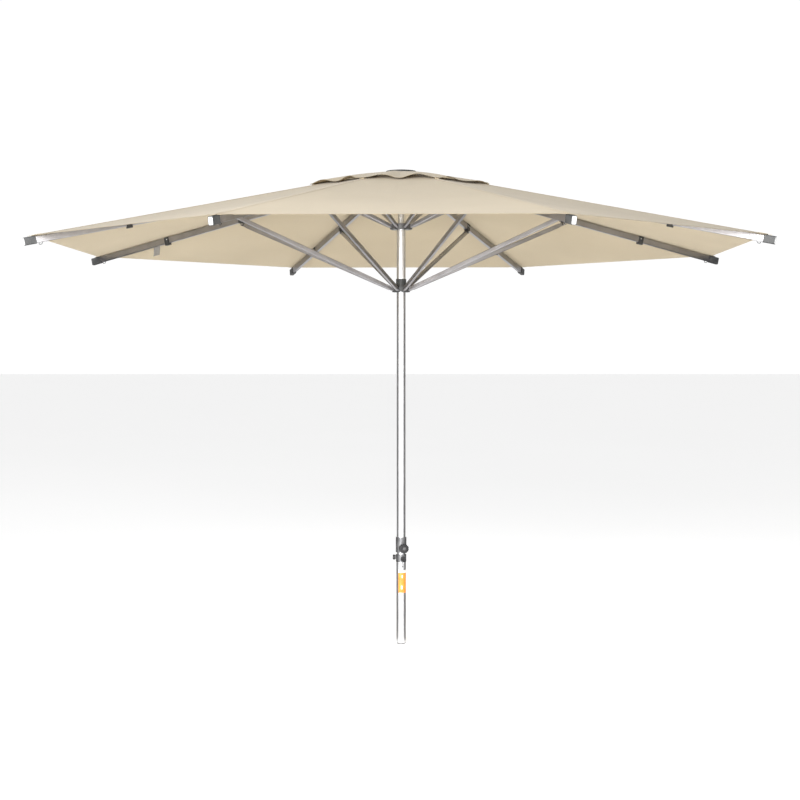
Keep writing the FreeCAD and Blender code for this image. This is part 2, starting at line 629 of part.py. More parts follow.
# ---------------------------------------------------------------- build
def main():
    os.makedirs("parts", exist_ok=True)
    save("foot_plug", foot_plug())
    save("lower_tube", lower_tube())
    save("pole_label", pole_label())
    save("clamp_ring", clamp_ring())
    save("clamp_screw_front", *clamp_screw(FRONT_AZIMUTH, FRONT_SCREW_Z))
    save("clamp_screw_side", *clamp_screw(SIDE_AZIMUTH, SIDE_SCREW_Z))
    save("coupling_tube", coupling_tube())
    save("mast_tube", mast_tube())
    save("lock_sleeve", lock_sleeve())
    save("lock_knob", *lock_knob())
    save("upper_star", upper_star())
    save("mast_guide_bush", mast_guide_bush())
    save("runner_hub", runner_hub())
    save("runner_neck", runner_neck())
    save("inner_tube", inner_tube())
    save("inner_tube_slider", inner_tube_slider())
    save("crown_hub", crown_hub())
    save("crown_pins", *crown_pins())
    save("top_cap", top_cap())
    save("cap_bolt", *cap_bolt())
    build_ribs()


def build_ribs():
    rib_pieces = rib()
    fitting_pieces = rib_fittings()
    strut_pieces = hinged_bar(
        STRUT_LENGTH, STRUT_WIDTH, STRUT_DEPTH, STRUT_WALL, STRUT_CORNER,
        STRUT_END_RADIUS, STRUT_END_LENGTH, STRUT_PIN_R,
    )
    stay_pieces = hinged_bar(
        STAY_LENGTH, STAY_WIDTH, STAY_DEPTH, STAY_WALL, STAY_CORNER,
        STAY_END_RADIUS, STAY_END_LENGTH, STAY_PIN_R,
    )
    cloth_pieces = canopy_panel()
    crown = (CROWN_PIVOT_R, CROWN_PIVOT_Z)
    strut_angle = math.degrees(math.atan2(RUNNER_Z - STRUT_PIN[1], RUNNER_PIVOT_R - STRUT_PIN[0]))
    stay_angle = math.degrees(math.atan2(STAR_Z - STAY_PIN[1], STAR_PIVOT_R - STAY_PIN[0]))
    for number in range(1, RIB_COUNT + 1):
        azimuth = rib_azimuth(number)
        label = str(number)
        save("rib_" + label, *[laid_along(p, crown, -RIB_SLOPE, azimuth) for p in rib_pieces])
        save("rib_fittings_" + label, *[laid_along(p, crown, -RIB_SLOPE, azimuth) for p in fitting_pieces])
        save("strut_" + label, *[laid_along(p, STRUT_PIN, strut_angle, azimuth) for p in strut_pieces])
        save("stay_" + label, *[laid_along(p, STAY_PIN, stay_angle, azimuth) for p in stay_pieces])
        save("canopy_panel_" + label, *[turned(p, azimuth) for p in cloth_pieces])


main()
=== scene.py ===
import bpy
import bmesh
import json
import math
import random
from mathutils import Matrix, Vector

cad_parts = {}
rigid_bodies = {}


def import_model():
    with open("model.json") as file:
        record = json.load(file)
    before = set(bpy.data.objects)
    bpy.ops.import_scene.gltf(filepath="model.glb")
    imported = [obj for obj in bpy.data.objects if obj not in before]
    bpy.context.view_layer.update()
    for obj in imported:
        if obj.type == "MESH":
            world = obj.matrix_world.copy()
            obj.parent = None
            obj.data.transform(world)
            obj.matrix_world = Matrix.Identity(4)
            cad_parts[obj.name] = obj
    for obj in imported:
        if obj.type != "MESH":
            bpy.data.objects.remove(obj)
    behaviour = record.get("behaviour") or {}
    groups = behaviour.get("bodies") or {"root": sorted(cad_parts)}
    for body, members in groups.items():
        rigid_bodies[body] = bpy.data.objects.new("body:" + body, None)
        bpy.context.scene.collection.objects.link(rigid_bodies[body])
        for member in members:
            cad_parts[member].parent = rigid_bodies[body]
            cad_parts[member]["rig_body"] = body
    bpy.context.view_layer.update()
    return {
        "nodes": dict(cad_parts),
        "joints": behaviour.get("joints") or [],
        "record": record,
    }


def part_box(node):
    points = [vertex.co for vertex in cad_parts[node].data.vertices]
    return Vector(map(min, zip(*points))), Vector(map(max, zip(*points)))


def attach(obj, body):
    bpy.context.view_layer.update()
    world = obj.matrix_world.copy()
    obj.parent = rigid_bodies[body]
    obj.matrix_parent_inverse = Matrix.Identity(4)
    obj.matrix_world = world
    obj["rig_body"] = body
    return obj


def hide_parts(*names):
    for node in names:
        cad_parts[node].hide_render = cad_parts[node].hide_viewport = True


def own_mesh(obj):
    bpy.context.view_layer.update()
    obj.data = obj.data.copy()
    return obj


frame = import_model()
random.seed(7)

# Patio umbrella: cloth, seams, small fittings and finishes over the CAD frame. Metres, +Z up.

# ---------------------------------------------------------------- sizes
RIBS = 8
HALF_GORE = math.pi / RIBS
COS_HALF = math.cos(HALF_GORE)
SIN_HALF = math.sin(HALF_GORE)
JOINTS = {joint["name"]: joint for joint in frame["joints"]}

SLOPE = math.radians(12.0)           # ribs, below level
CROWN_Z = JOINTS["rib_fold_1"]["pos_m"][2]
CROWN_R = math.hypot(*JOINTS["rib_fold_1"]["pos_m"][:2])
RIB_HALF_DEPTH = 0.017
CAP_HALF_DEPTH = 0.020
CLOTH_ABOVE_RIB = 0.0226             # cloth's underside above a rib's centreline
CLOTH = 0.0010
VENT_R = 0.330
HEM_R = 1.965
TIP_R = 2.000
GORE_SAG = 0.013                     # the middle of a gore below a flat sheet
FLAP_NECK_R = 0.076                  # the flap's cloth goes in under the top cap
FLAP_HEM_R = 0.512
FLAP_CLEAR_LOW = 0.006               # the flap's hem above the main cloth where it is sewn down
FLAP_CLEAR_HIGH = 0.034              # and between those places
SEAM_WIDTH = 0.030
HEM_WIDTH = 0.024
POLE_BODY = frame["nodes"]["lower_tube"]["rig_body"]


def rib_azimuth(number):
    return HALF_GORE + (number - 1) * 2 * HALF_GORE


def rib_height(radius):
    """Height of a rib's centreline."""
    return CROWN_Z - (radius - CROWN_R) * math.tan(SLOPE)


def cloth_height(radius):
    """Height of the main cloth's underside at a rib."""
    return rib_height(radius) + CLOTH_ABOVE_RIB / math.cos(SLOPE)


def turned(point, azimuth):
    return Matrix.Rotation(azimuth, 3, "Z") @ Vector(point)


# ---------------------------------------------------------------- materials
class Nodes:
    """A material's node tree, with short ways to add and join nodes."""

    def __init__(self, name):
        self.material = bpy.data.materials.new(name)
        self.material.use_nodes = True
        self.tree = self.material.node_tree
        self.shader = self.tree.nodes["Principled BSDF"]
        self.output = self.tree.nodes["Material Output"]

    def add(self, kind, **settings):
        node = self.tree.nodes.new(kind)
        for key, value in settings.items():
            setattr(node, key, value)
        return node

    def join(self, source, target):
        self.tree.links.new(source, target)

    def place(self, scale=(1, 1, 1)):
        """The object's own coordinates, scaled."""
        coordinates = self.add("ShaderNodeTexCoord")
        mapping = self.add("ShaderNodeMapping")
        mapping.inputs["Scale"].default_value = scale
        self.join(coordinates.outputs["Object"], mapping.inputs["Vector"])
        return mapping.outputs["Vector"]

    def noise(self, scale, detail=3.0, stretch=(1, 1, 1)):
        texture = self.add("ShaderNodeTexNoise")
        texture.inputs["Scale"].default_value = scale
        texture.inputs["Detail"].default_value = detail
        self.join(self.place(stretch), texture.inputs["Vector"])
        return texture.outputs["Fac"]

    def ramp(self, factor, low, high, start=0.3, end=0.7):
        """A colour from low to high as factor goes from start to end."""
        ramp = self.add("ShaderNodeValToRGB")
        ramp.color_ramp.elements[0].position = start
        ramp.color_ramp.elements[0].color = (*low, 1)
        ramp.color_ramp.elements[1].position = end
        ramp.color_ramp.elements[1].color = (*high, 1)
        self.join(factor, ramp.inputs["Fac"])
        return ramp.outputs["Color"]

    def span(self, factor, low, high):
        """A number from low to high as factor goes from 0 to 1."""
        span = self.add("ShaderNodeMapRange")
        span.inputs["To Min"].default_value = low
        span.inputs["To Max"].default_value = high
        self.join(factor, span.inputs["Value"])
        return span.outputs["Result"]

    def maths(self, operation, first, second):
        node = self.add("ShaderNodeMath", operation=operation)
        for socket, value in zip(node.inputs, (first, second)):
            if isinstance(value, (int, float)):
                socket.default_value = value
            else:
                self.join(value, socket)
        return node.outputs["Value"]

    def bump(self, height, strength, distance):
        bump = self.add("ShaderNodeBump")
        bump.inputs["Strength"].default_value = strength
        bump.inputs["Distance"].default_value = distance
        self.join(height, bump.inputs["Height"])
        self.join(bump.outputs["Normal"], self.shader.inputs["Normal"])
        return bump.outputs["Normal"]


def aluminium(name, low, high):
    """Satin anodised tube with fine lengthwise drawing lines and faint handling marks."""
    n = Nodes(name)
    marks = n.noise(9.0, 5.0)
    n.join(n.ramp(marks, low, high), n.shader.inputs["Base Color"])
    n.shader.inputs["Metallic"].default_value = 0.95
    grain = n.noise(900.0, 4.0, (1, 1, 0.02))
    n.join(n.span(n.maths("ADD", n.maths("MULTIPLY", marks, 0.5), n.maths("MULTIPLY", grain, 0.5)),
                  0.26, 0.46), n.shader.inputs["Roughness"])
    n.bump(grain, 0.12, 0.0004)
    return n.material


def cast_grey():
    """Powder-coated casting with a fine orange-peel skin."""
    n = Nodes("cast_grey")
    tone = n.noise(30.0, 4.0)
    n.join(n.ramp(tone, (0.13, 0.13, 0.135), (0.20, 0.20, 0.205)), n.shader.inputs["Base Color"])
    n.shader.inputs["Metallic"].default_value = 0.8
    n.join(n.span(tone, 0.38, 0.55), n.shader.inputs["Roughness"])
    n.bump(n.noise(700.0, 2.0), 0.25, 0.0005)
    return n.material


def plastic(name, low, high, roughness):
    """Moulded plastic with a fine spark-eroded texture."""
    n = Nodes(name)
    tone = n.noise(25.0, 4.0)
    n.join(n.ramp(tone, low, high), n.shader.inputs["Base Color"])
    n.join(n.span(tone, roughness - 0.06, roughness + 0.08), n.shader.inputs["Roughness"])
    n.shader.inputs["Specular IOR Level"].default_value = 0.3
    n.bump(n.noise(1500.0, 2.0), 0.2, 0.0003)
    return n.material


def steel():
    n = Nodes("stainless_steel")
    tone = n.noise(40.0, 4.0)
    n.join(n.ramp(tone, (0.52, 0.52, 0.53), (0.66, 0.66, 0.67)), n.shader.inputs["Base Color"])
    n.shader.inputs["Metallic"].default_value = 1.0
    n.join(n.span(tone, 0.2, 0.36), n.shader.inputs["Roughness"])
    return n.material


def cloth(name, dark, light, glow):
    """Woven polyester: warp and weft threads, slow colour change, soft light through it."""
    n = Nodes(name)
    slow = n.noise(1.7, 3.0)
    fibre = n.noise(420.0, 3.0)
    mixed = n.maths("ADD", n.maths("MULTIPLY", slow, 0.75), n.maths("MULTIPLY", fibre, 0.25))
    colour = n.ramp(mixed, dark, light, 0.32, 0.68)
    n.join(colour, n.shader.inputs["Base Color"])
    n.join(n.span(fibre, 0.78, 0.94), n.shader.inputs["Roughness"])
    n.shader.inputs["Sheen Weight"].default_value = 0.15
    n.shader.inputs["Sheen Roughness"].default_value = 0.5
    n.shader.inputs["Specular IOR Level"].default_value = 0.25
    threads = []
    for direction in ("X", "Y"):
        wave = n.add("ShaderNodeTexWave", bands_direction=direction)
        wave.inputs["Scale"].default_value = 380.0
        wave.inputs["Distortion"].default_value = 0.6
        wave.inputs["Detail"].default_value = 1.0
        n.join(n.place(), wave.inputs["Vector"])
        threads.append(wave.outputs["Fac"])
    weave = n.maths("ADD", n.maths("MULTIPLY", *threads), n.maths("MULTIPLY", slow, 1.2))
    normal = n.bump(weave, 0.3, 0.0006)
    through = n.add("ShaderNodeBsdfTranslucent")
    n.join(colour, through.inputs["Color"])
    n.join(normal, through.inputs["Normal"])
    mix = n.add("ShaderNodeMixShader")
    mix.inputs["Fac"].default_value = glow
    n.join(n.shader.outputs["BSDF"], mix.inputs[1])
    n.join(through.outputs["BSDF"], mix.inputs[2])
    n.join(mix.outputs["Shader"], n.output.inputs["Surface"])
    return n.material


def thread():
    n = Nodes("stitch_thread")
    tone = n.noise(900.0, 2.0)
    n.join(n.ramp(tone, (0.50, 0.43, 0.32), (0.62, 0.55, 0.43)), n.shader.inputs["Base Color"])
    n.shader.inputs["Roughness"].default_value = 0.8
    return n.material


def label_film():
    """Orange film with a plain white panel, a grey block and thin bars, and no lettering."""
    n = Nodes("label_film")
    coordinates = n.add("ShaderNodeTexCoord")
    split = n.add("ShaderNodeSeparateXYZ")
    n.join(coordinates.outputs["Object"], split.inputs["Vector"])
    height = split.outputs["Z"]
    low, high = (corner[2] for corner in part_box("pole_label"))

    def between(value, start, end):
        """1 where value lies from start to end, and 0 elsewhere."""
        above = n.maths("GREATER_THAN", value, start)
        return n.maths("MULTIPLY", above, n.maths("LESS_THAN", value, end))

    def block(left, right, start, end):
        """A printed block, from left to right across the label and between two shares of its height."""
        wide = between(split.outputs["X"], left, right)
        return n.maths("MULTIPLY", wide, between(height, low + start * (high - low), low + end * (high - low)))

    tone = n.noise(60.0, 3.0)
    orange = n.ramp(tone, (0.80, 0.20, 0.02), (0.92, 0.27, 0.04))
    top_panel = block(-0.030, 0.030, 0.90, 1.0)
    marks = n.maths("MAXIMUM", block(0.004, 0.009, 0.66, 0.80), block(0.000, 0.008, 0.16, 0.32))
    panel = n.maths("MAXIMUM", top_panel, marks)
    mix = n.add("ShaderNodeMix", data_type="RGBA")
    n.join(panel, mix.inputs["Factor"])
    n.join(orange, mix.inputs["A"])
    mix.inputs["B"].default_value = (0.80, 0.78, 0.72, 1)
    n.join(mix.outputs["Result"], n.shader.inputs["Base Color"])
    n.join(n.span(tone, 0.3, 0.42), n.shader.inputs["Roughness"])
    return n.material


ALUMINIUM = aluminium("satin_aluminium", (0.66, 0.665, 0.68), (0.76, 0.765, 0.78))
# A darker copy of the satin aluminium for ribs, struts and stays: painted shade, standing for the canopy's shadow on
# the same anodised metal.
SHADED_RIB_ALUMINIUM = aluminium("shaded_rib_aluminium", (0.32, 0.312, 0.325), (0.42, 0.412, 0.425))
CAST = cast_grey()
STEEL = steel()
BLACK = plastic("black_plastic", (0.012, 0.012, 0.013), (0.028, 0.028, 0.03), 0.38)
GREY = plastic("grey_plastic", (0.035, 0.036, 0.036), (0.055, 0.056, 0.056), 0.5)
PALE = plastic("mid_plastic", (0.07, 0.07, 0.072), (0.11, 0.11, 0.112), 0.35)
WHITE = plastic("white_plastic", (0.62, 0.62, 0.62), (0.74, 0.74, 0.74), 0.4)
CLOTH_MAIN = cloth("canopy_cloth", (0.51, 0.425, 0.285), (0.57, 0.480, 0.330), 0.20)
CLOTH_TAPE = cloth("canopy_tape", (0.48, 0.395, 0.265), (0.54, 0.45, 0.31), 0.2)
TAG_CLOTH = cloth("tag_cloth", (0.26, 0.25, 0.24), (0.34, 0.33, 0.31), 0.2)
DARK_CARD = plastic("dark_card", (0.02, 0.02, 0.02), (0.03, 0.03, 0.03), 0.9)
THREAD = thread()
LABEL = label_film()


# ---------------------------------------------------------------- making pieces
def piece(name, points, faces, material, smooth=True):
    mesh = bpy.data.meshes.new(name)
    mesh.from_pydata([tuple(p) for p in points], [], faces)
    mesh.update()
    obj = bpy.data.objects.new(name, mesh)
    bpy.context.collection.objects.link(obj)
    mesh.materials.append(material)
    mesh.polygons.foreach_set("use_smooth", [smooth] * len(mesh.polygons))
    return obj


def grid(name, rows, material):
    """A sheet through rows of points."""
    wide = len(rows[0])
    points = [p for row in rows for p in row]
    faces = [
        (i * wide + j, (i + 1) * wide + j, (i + 1) * wide + j + 1, i * wide + j + 1)
        for i in range(len(rows) - 1)
        for j in range(wide - 1)
    ]
    return piece(name, points, faces, material)


def thicken(obj, thickness, offset=1.0):
    solid = obj.modifiers.new("thickness", "SOLIDIFY")
    solid.thickness = thickness
    solid.offset = offset
    even = obj.modifiers.new("even shading", "WEIGHTED_NORMAL")
    even.mode = "FACE_AREA"
    even.weight = 100
    return obj


def soften(obj, width, segments=2, angle=35.0):
    bevel = obj.modifiers.new("soft edges", "BEVEL")
    bevel.width = width
    bevel.segments = segments
    bevel.limit_method = "ANGLE"
    bevel.angle_limit = math.radians(angle)
    return obj


def lathe(name, profile, origin, axis, material, steps=48):
    """A turned piece: profile is (distance along axis, radius), closed at ends of radius 0."""
    turn = Vector(axis).to_track_quat("Z", "Y").to_matrix()
    points, faces = [], []
    for along, radius in profile:
        for k in range(steps):
            a = 2 * math.pi * k / steps
            local = Vector((radius * math.cos(a), radius * math.sin(a), along))
            points.append(Vector(origin) + turn @ local)
    for row in range(len(profile) - 1):
        for k in range(steps):
            low, high = row * steps, (row + 1) * steps
            faces.append((low + k, low + (k + 1) % steps, high + (k + 1) % steps, high + k))
    obj = piece(name, points, faces, material)
    mesh = bmesh.new()
    mesh.from_mesh(obj.data)
    bmesh.ops.remove_doubles(mesh, verts=mesh.verts, dist=1e-6)
    bmesh.ops.recalc_face_normals(mesh, faces=mesh.faces)
    mesh.to_mesh(obj.data)
    mesh.free()
    return obj


def wire(name, points, radius, material, closed=False):
    """A bent round wire as a mesh."""
    curve = bpy.data.curves.new(name, "CURVE")
    curve.dimensions = "3D"
    curve.bevel_depth = radius
    curve.bevel_resolution = 3
    curve.use_fill_caps = True
    spline = curve.splines.new("NURBS")
    spline.points.add(len(points) - 1)
    for target, point in zip(spline.points, points):
        target.co = (*point, 1)
    spline.use_cyclic_u = closed
    spline.use_endpoint_u = not closed
    spline.order_u = 3
    carrier = bpy.data.objects.new(name + "_line", curve)
    bpy.context.collection.objects.link(carrier)
    bpy.context.view_layer.update()
    mesh = bpy.data.meshes.new_from_object(carrier.evaluated_get(bpy.context.evaluated_depsgraph_get()))
    bpy.data.objects.remove(carrier)
    obj = bpy.data.objects.new(name, mesh)
    bpy.context.collection.objects.link(obj)
    mesh.materials.clear()
    mesh.materials.append(material)
    mesh.polygons.foreach_set("use_smooth", [True] * len(mesh.polygons))
    return obj


# ---------------------------------------------------------------- canopy
def across(radius, share, height, azimuth):
    """The point on a hem line of a rib's panel: share runs from -1 to 1 between mid-gore lines."""
    part = abs(share)
    x = radius * (1 - part) + radius * COS_HALF * COS_HALF * part
    y = radius * COS_HALF * SIN_HALF * share
    return turned((x, y, height), azimuth)


def spread(count, power=1.35):
    """Places from -1 to 1 that stand closer together near 0."""
    marks = [2 * k / (count - 1) - 1 for k in range(count)]
    return [math.copysign(abs(m) ** power, m) for m in marks]


def canopy_fall(along, share):
    """How far the main cloth lies below a flat sheet, with along from 0 at the vent to 1 at the hem."""
    middle = math.sin(math.pi * abs(share) / 2)
    sag = GORE_SAG * middle * math.sin(math.pi * along) ** 0.8
    corner = math.exp(-((1 - along) / 0.10) ** 2) * math.exp(-abs(share) * 7)
    pulls = 0.0016 * corner * math.sin(abs(share) * 60)
    ripple = 0.0012 * middle * math.sin(math.pi * along) * math.sin(23 * along)
    return sag + pulls + ripple


def main_panel(number):
    azimuth = rib_azimuth(number)
    rows = []
    steps = 64
    for i in range(steps + 1):
        along = i / steps
        radius = VENT_R + (HEM_R - VENT_R) * along
        height = cloth_height(radius)
        rows.append([
            across(radius, share, height - canopy_fall(along, share), azimuth) for share in spread(41)
        ])
    return thicken(grid(f"canopy_{number}", rows, CLOTH_MAIN), CLOTH)


def hem_wave(azimuth):
    """How far the flap's hem stands open round the crown, from 0 to 1, without a repeat from gore to gore."""
    wander = math.sin(3 * azimuth + 0.6) + 0.8 * math.sin(5 * azimuth + 2.1) + 0.6 * math.sin(11 * azimuth)
    return 0.55 + 0.18 * wander


def flap_height(radius, share, azimuth):
    """The flap's underside: close to the cloth at ribs and mid-gores, and open in uneven waves between."""
    along = (radius - FLAP_NECK_R) / (FLAP_HEM_R - FLAP_NECK_R)
    around = azimuth + share * HALF_GORE
    arch = math.sin(math.pi * abs(share)) ** 2
    open_by = FLAP_CLEAR_LOW + (FLAP_CLEAR_HIGH - FLAP_CLEAR_LOW) * arch * hem_wave(around)
    hem = cloth_height(FLAP_HEM_R) + CLOTH + open_by
    neck = CROWN_Z + 0.0155
    bend = along ** 1.12
    slack = 0.005 * math.sin(math.pi * along) * (0.5 + 0.5 * math.sin(7 * around + 1.3))
    tuck = -0.004 * along * (1 - along) * math.sin(13 * around + 4 * along)
    return neck * (1 - bend) + hem * bend + slack + tuck


def flap_panel(number):
    azimuth = rib_azimuth(number)
    rows = []
    steps = 36
    for i in range(steps + 1):
        radius = FLAP_NECK_R + (FLAP_HEM_R - FLAP_NECK_R) * i / steps
        rows.append([
            across(flap_edge(radius, share, azimuth), share, flap_height(radius, share, azimuth), azimuth)
            for share in spread(41, 1.0)
        ])
    return thicken(grid(f"flap_{number}", rows, CLOTH_MAIN), CLOTH)


def flap_edge(radius, share, azimuth):
    """The radius of a point on the flap, which reaches in and out a little along the hem."""
    along = (radius - FLAP_NECK_R) / (FLAP_HEM_R - FLAP_NECK_R)
    around = azimuth + share * HALF_GORE
    return radius + 0.007 * along ** 4 * math.sin(9 * around + 0.8)


def hem_band(name, number, radius, width, height_at, reach, lift, power):
    """A folded hem: a narrow band along a panel's edge, a little proud of the cloth below and above."""
    azimuth = rib_azimuth(number)
    rows = []
    for inset, proud in ((width, -0.0002), (width * 0.9, lift), (width * 0.1, lift), (0.0, lift * 0.6)):
        edge = radius - inset
        rows.append([
            across(reach(edge, share), share, height_at(edge, share) + CLOTH + proud, azimuth)
            for share in spread(41, power)
        ])
    return thicken(grid(name, rows, CLOTH_TAPE), 0.0006)


def main_top(radius, share):
    return cloth_height(radius) - canopy_fall((radius - VENT_R) / (HEM_R - VENT_R), share)


def seam_tape(name, azimuth, start, end, height_at, width):
    """The flat-felled seam over a rib."""
    rows = []
    steps = 40
    for i in range(steps + 1):
        radius = start + (end - start) * i / steps
        row = []
        for side, proud in ((-0.5, 0.0002), (-0.38, 0.0011), (0, 0.0013), (0.38, 0.0011), (0.5, 0.0002)):
            y = side * width
            fall = abs(y) * math.sin(SLOPE) * math.tan(HALF_GORE)
            row.append(turned((radius, y, height_at(radius) + CLOTH - fall + proud), azimuth))
        rows.append(row)
    return grid(name, rows, CLOTH_TAPE)


def stitches(name, path, length, gap, radius, material):
    """A row of sewn stitches: short rounded bars laid end to end along a path function of distance."""
    points, faces = [], []
    total, place = path
    count = int(total / (length + gap))
    for k in range(count):
        a = place(k * (length + gap))
        b = place(k * (length + gap) + length)
        run = (b - a).normalized()
        side = run.cross(Vector((0, 0, 1))).normalized()
        up = side.cross(run)
        base = len(points)
        for share, size in ((0.0, 0.35), (0.25, 1.0), (0.75, 1.0), (1.0, 0.35)):
            centre = a.lerp(b, share)
            for s, u in ((-1, 0), (0, 0.7), (1, 0), (0, -0.4)):
                points.append(centre + side * (s * radius * size) + up * (u * radius * size))
        for row in range(3):
            for c in range(4):
                low, high = base + row * 4, base + row * 4 + 4
                faces.append((low + c, low + (c + 1) % 4, high + (c + 1) % 4, high + c))
        faces.append((base, base + 3, base + 2, base + 1))
        faces.append((base + 12, base + 13, base + 14, base + 15))
    return piece(name, points, faces, material)


def rib_stitches(number, side):
    azimuth = rib_azimuth(number)
    offset = side * SEAM_WIDTH * 0.36
    fall = abs(offset) * math.sin(SLOPE) * math.tan(HALF_GORE)

    def place(distance):
        radius = VENT_R + 0.03 + distance
        return turned((radius, offset, cloth_height(radius) + CLOTH - fall + 0.0013), azimuth)

    return stitches(
        f"rib_stitch_{number}_{'a' if side < 0 else 'b'}", (HEM_R - VENT_R - 0.08, place),
        0.0045, 0.002, 0.0006, THREAD,
    )


def corner_tab(number):
    """The narrow webbing tab that holds a canopy corner on the rib's end cap."""
    azimuth = rib_azimuth(number)
    rows = []
    steps = 12
    for i in range(steps + 1):
        share = i / steps
        radius = HEM_R - 0.050 + 0.068 * share
        top = (CLOTH_ABOVE_RIB + 0.0014) / math.cos(SLOPE) + CLOTH - 0.0022 * share ** 3
        rows.append([
            turned((radius, y, rib_height(radius) + top - abs(y) * 0.05), azimuth)
            for y in (-0.0075, -0.0068, 0.0, 0.0068, 0.0075)
        ])
    return thicken(grid(f"corner_tab_{number}", rows, CLOTH_TAPE), 0.0012, 1.0)


def flap_strap(number):
    """The webbing loop that holds the flap's hem down to the main cloth at a rib."""
    azimuth = rib_azimuth(number)
    low = cloth_height(FLAP_HEM_R - 0.012) + CLOTH
    high = flap_height(FLAP_HEM_R - 0.012, 0, azimuth)
    rows = []
    for share in (0.0, 0.12, 0.35, 0.65, 0.88, 1.0):
        bow = 0.004 * math.sin(math.pi * share)
        height = low + (high - low) * share
        rows.append([turned((FLAP_HEM_R - 0.012 + bow, y, height), azimuth) for y in (-0.011, -0.004, 0.004, 0.011)])
    return thicken(grid(f"flap_strap_{number}", rows, CLOTH_TAPE), 0.0014, 0.0)


def canopy(number):
    azimuth = rib_azimuth(number)
    body = f"rib_{number}"
    main = main_panel(number)
    flap = flap_panel(number)
    hem = hem_band(
        f"canopy_hem_{number}", number, HEM_R, HEM_WIDTH, main_top, lambda radius, share: radius, 0.0008, 1.35,
    )
    flap_hem = hem_band(
        f"flap_hem_{number}", number, FLAP_HEM_R, HEM_WIDTH * 0.7,
        lambda radius, share: flap_height(radius, share, azimuth),
        lambda radius, share: flap_edge(radius, share, azimuth), 0.0007, 1.0,
    )
    soft = [main, flap, hem, flap_hem]
    tape = seam_tape(f"rib_seam_{number}", azimuth, VENT_R, HEM_R - 0.02, cloth_height, SEAM_WIDTH)
    firm = [
        tape, corner_tab(number), flap_strap(number), rib_stitches(number, -1), rib_stitches(number, 1)
    ]
    for obj in soft + firm:
        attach(obj, body)
    for obj in (main, hem):
        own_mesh(obj)
    for obj in (flap, flap_hem):
        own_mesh(obj)
    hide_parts(f"canopy_panel_{number}")


# ---------------------------------------------------------------- small fittings
def rib_point(radius, above, side, azimuth):
    """A point given by its radius, its height above the rib's centreline and its place to the side."""
    return turned((radius, side, rib_height(radius) + above / math.cos(SLOPE)), azimuth)


def end_hook(number):
    """The bent wire loop under a rib, just inside its end cap."""
    azimuth = rib_azimuth(number)
    radius = TIP_R - 0.080
    shape = ((-0.010, -0.0172), (-0.010, -0.022), (-0.005, -0.0272), (0.004, -0.0272), (0.008, -0.023), (0.006, -0.020))
    points = [rib_point(radius + out, above, 0, azimuth) for out, above in shape]
    return wire(f"end_hook_{number}", points, 0.0015, GREY)


def cap_face(number):
    """The pale moulded face on the outer end of a rib's cap."""
    azimuth = rib_azimuth(number)
    half_wide, half_deep, corner = 0.0098, 0.0168, 0.0035
    outline = []
    for cx, cz, start in ((1, 1, 0), (-1, 1, 90), (-1, -1, 180), (1, -1, 270)):
        for step in range(5):
            a = math.radians(start + 22.5 * step)
            outline.append((
                cx * (half_wide - corner) + corner * math.cos(a),
                cz * (half_deep - corner) + corner * math.sin(a),
            ))
    points, faces = [], []
    out = Vector((math.cos(SLOPE), 0, -math.sin(SLOPE)))
    up = Vector((math.sin(SLOPE), 0, math.cos(SLOPE)))
    tip = Vector((TIP_R, 0, rib_height(TIP_R)))
    for shrink, proud in ((1.0, -0.0005), (1.0, 0.0008), (0.93, 0.0014), (0.6, 0.0016)):
        for y, z in outline:
            local = tip + out * proud + up * (z * shrink) + Vector((0, y * shrink, 0))
            points.append(turned(local, azimuth))
    count = len(outline)
    for row in range(3):
        for k in range(count):
            low, high = row * count, (row + 1) * count
            faces.append((low + k, low + (k + 1) % count, high + (k + 1) % count, high + k))
    faces.append(tuple(range(3 * count, 4 * count)))
    return piece(f"cap_face_{number}", points, faces, WHITE)


def rivet_heads(number):
    """Dome rivets on both sides of the rib: strut bracket, stay bracket and clip band."""
    azimuth = rib_azimuth(number)
    tangent = turned((0, 1, 0), azimuth)
    places = []
    for along in (0.9572 - 0.012, 0.9572 + 0.012, 0.3945 - 0.010, 0.3945 + 0.010):
        places.append((CROWN_R + along * math.cos(SLOPE), 0.004))
    places.append((1.481, 0.006))
    made = []
    for index, (radius, above) in enumerate(places):
        for side in (-1, 1):
            face = rib_point(radius, above, side * 0.01245, azimuth)
            profile = [(0, 0.0036), (0.0004, 0.0036), (0.0013, 0.0028), (0.0019, 0.0015), (0.0021, 0.0)]
            made.append(lathe("rivet", profile, face, tangent * side, STEEL, 16))
    bpy.ops.object.select_all(action="DESELECT")
    for obj in made:
        obj.select_set(True)
    bpy.context.view_layer.objects.active = made[0]
    bpy.ops.object.join()
    made[0].name = f"rivets_{number}"
    return made[0]


def care_tag():
    """A small blank tag sewn under one rib."""
    azimuth = rib_azimuth(4)
    rows = []
    for i in range(9):
        t = i / 8
        drop = 0.052 * t
        row = []
        for j in range(5):
            s = j / 4
            curl = 0.003 * math.sin(math.pi * s) + 0.005 * t * t
            row.append(rib_point(1.53 + 0.042 * s, -0.0172 - drop, 0.004 + curl, azimuth))
        rows.append(row)
    return thicken(grid("care_tag", rows, TAG_CLOTH), 0.0006, 0.0)


def fittings(number):
    for obj in (end_hook(number), cap_face(number), rivet_heads(number)):
        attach(obj, f"rib_{number}")


# ---------------------------------------------------------------- knobs, cap and pole trim
def knob_trim():
    """The pale centre disc and ring on the big lock knob."""
    axis = Vector(JOINTS["lock_knob_turn"]["axis"])
    centre = Vector(JOINTS["lock_knob_turn"]["pos_m"])
    face = centre + axis * 0.0601
    profile = [(0, 0.0088), (0.0006, 0.0088), (0.0012, 0.0078), (0.0010, 0.0060), (0.0020, 0.0045), (0.0024, 0.0)]
    disc = lathe("knob_badge", profile, face, axis, PALE)
    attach(disc, "lock_knob")


